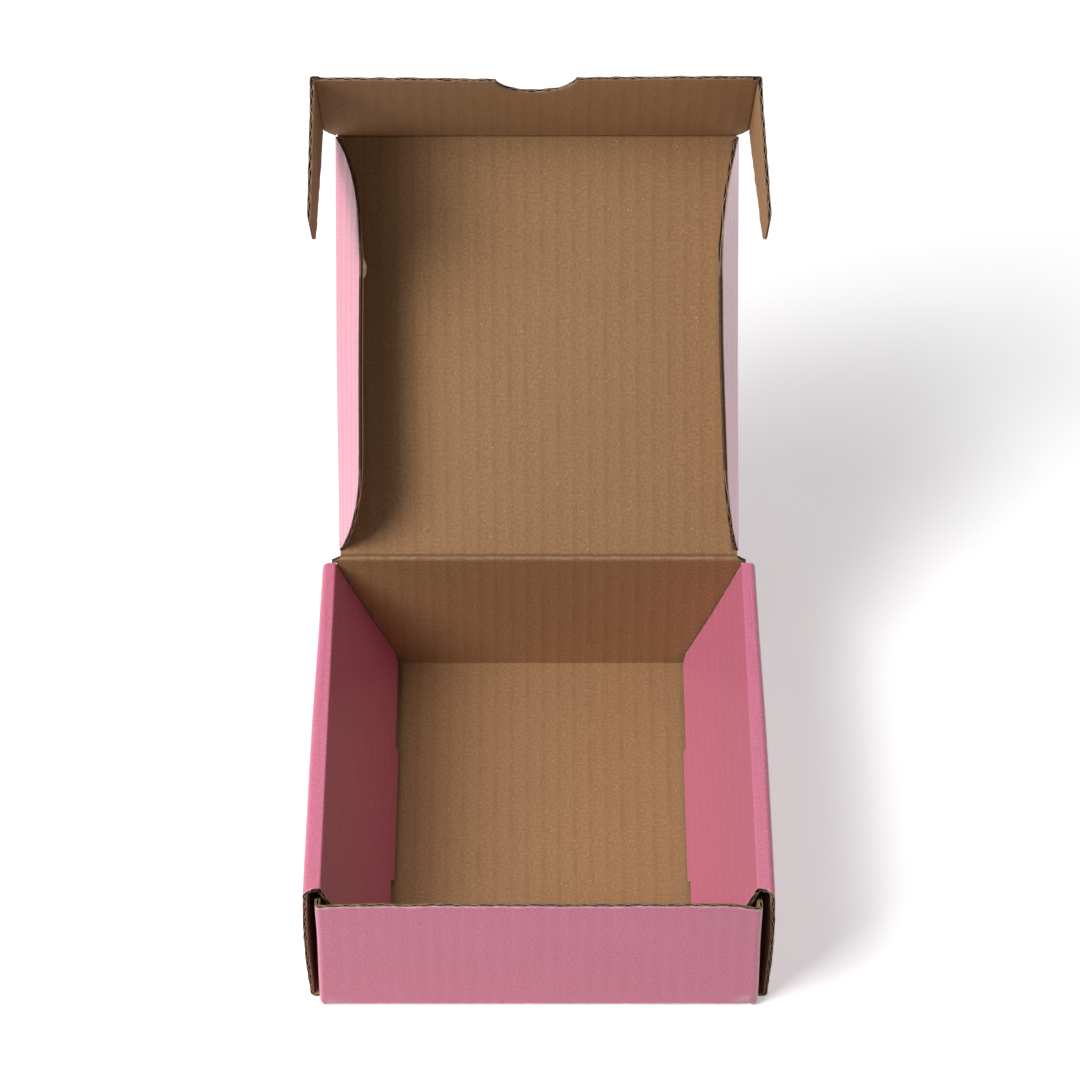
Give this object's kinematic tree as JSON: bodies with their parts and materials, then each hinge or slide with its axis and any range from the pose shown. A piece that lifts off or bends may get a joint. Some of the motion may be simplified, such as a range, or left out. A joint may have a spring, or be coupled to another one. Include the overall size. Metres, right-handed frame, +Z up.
{
  "type": "corrugated mailer box",
  "caption": "Shallow mailer box folded from corrugated board, printed outside and plain inside, with an attached tuck-in lid, shown open.",
  "frame": {"origin": "centre of the tray's underside, which rests on the floor", "axes": "+X to the right, +Y from the front wall to the back wall and the lid's hinge, +Z up"},
  "size_m": [0.1772, 0.2863, 0.2501],
  "materials": {
    "board": "matte"
  },
  "bodies": {
    "tray": {"tray": "board"},
    "left_inner_panel": {"left_inner_panel": "board"},
    "right_inner_panel": {"right_inner_panel": "board"},
    "lid": {"lid": "board"},
    "left_lid_flap": {"left_lid_flap": "board"},
    "right_lid_flap": {"right_lid_flap": "board"},
    "tuck_flap": {"tuck_flap": "board"},
    "left_ear": {"left_ear": "board"},
    "right_ear": {"right_ear": "board"}
  },
  "joints": [
    {"name": "lid_hinge", "type": "hinge", "parent": "tray", "child": "lid", "pos_m": [0, 0.084, 0.069], "axis": [-1, 0, 0], "range_deg": [-103, 62]},
    {"name": "tuck_fold", "type": "hinge", "parent": "lid", "child": "tuck_flap", "pos_m": [0, 0.20032, 0.19201], "axis": [-1, 0, 0], "range_deg": [-20, 71]},
    {"name": "left_ear_fold", "type": "hinge", "parent": "tuck_flap", "child": "left_ear", "pos_m": [-0.0853, 0.20032, 0.19201], "axis": [0, 0.4633, -0.8862], "range_deg": [-10, 89]},
    {"name": "right_ear_fold", "type": "hinge", "parent": "tuck_flap", "child": "right_ear", "pos_m": [0.0853, 0.20032, 0.19201], "axis": [0, -0.4633, 0.8862], "range_deg": [-10, 88]},
    {"name": "left_lid_flap_fold", "type": "hinge", "parent": "lid", "child": "left_lid_flap", "pos_m": [-0.0795, 0.084, 0.069], "axis": [0, -0.6871, -0.7266], "range_deg": [-20, 109]},
    {"name": "right_lid_flap_fold", "type": "hinge", "parent": "lid", "child": "right_lid_flap", "pos_m": [0.0795, 0.084, 0.069], "axis": [0, 0.6871, 0.7266], "range_deg": [-20, 103.5]},
    {"name": "left_panel_fold", "type": "hinge", "parent": "tray", "child": "left_inner_panel", "pos_m": [-0.0826, 0, 0.0664], "axis": [0, -1, 0], "range_deg": [-3.5, 68]},
    {"name": "right_panel_fold", "type": "hinge", "parent": "tray", "child": "right_inner_panel", "pos_m": [0.0826, 0, 0.0664], "axis": [0, 1, 0], "range_deg": [-2, 69]}
  ]
}
